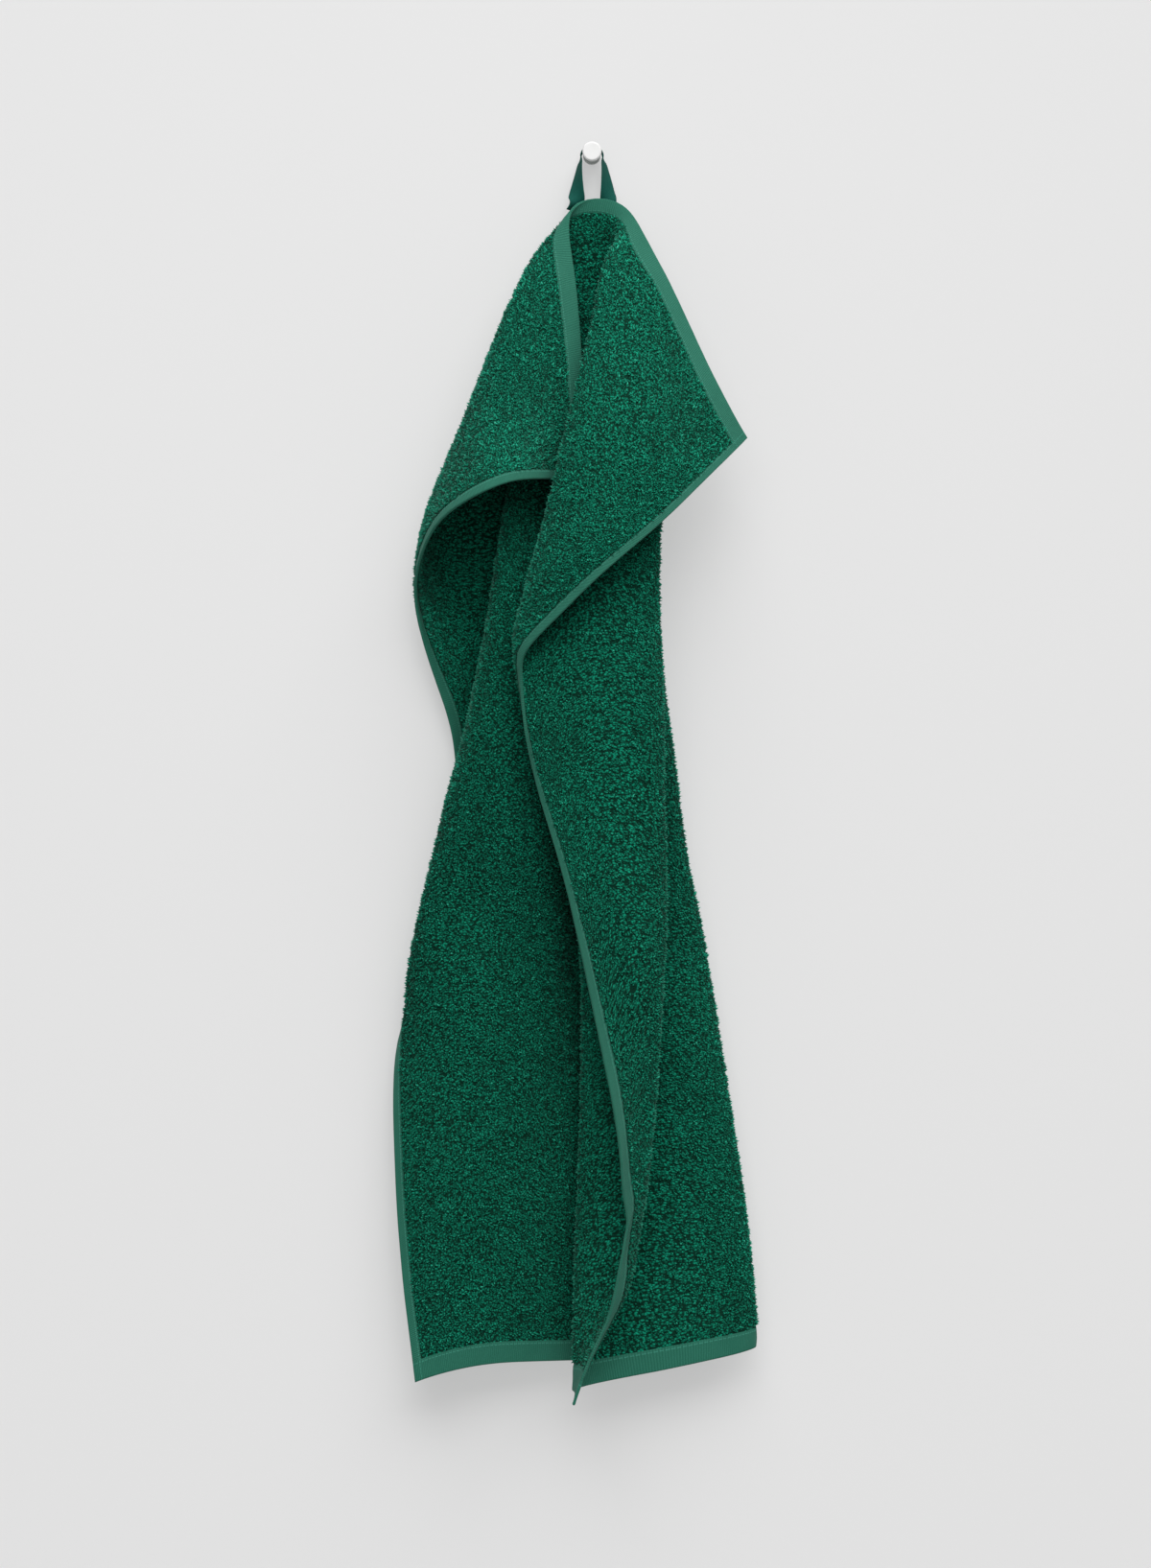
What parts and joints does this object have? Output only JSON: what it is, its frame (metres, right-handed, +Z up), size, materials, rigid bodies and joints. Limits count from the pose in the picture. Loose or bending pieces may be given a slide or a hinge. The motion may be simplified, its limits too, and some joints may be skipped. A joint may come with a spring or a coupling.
{
  "type": "bath towel on a wall hook",
  "caption": "Terry towel hung by a short sewn loop from a small round wall peg, its corners falling forward as two flaps over long uneven folds",
  "frame": {"origin": "middle of the peg's flat foot, on the plane of the wall", "axes": "+Z up, +Y into the wall, +X to the right as seen by someone who faces the wall"},
  "size_m": [0.3087, 0.1394, 1.067],
  "materials": {
    "terry": "looped cotton terry, bottle green, with flat woven hems",
    "tape": "twill tape, bottle green",
    "peg_paint": "satin white paint"
  },
  "bodies": {
    "root": {"towel": "terry", "hanging_loop": "tape", "hook_peg": "peg_paint"}
  },
  "joints": []
}
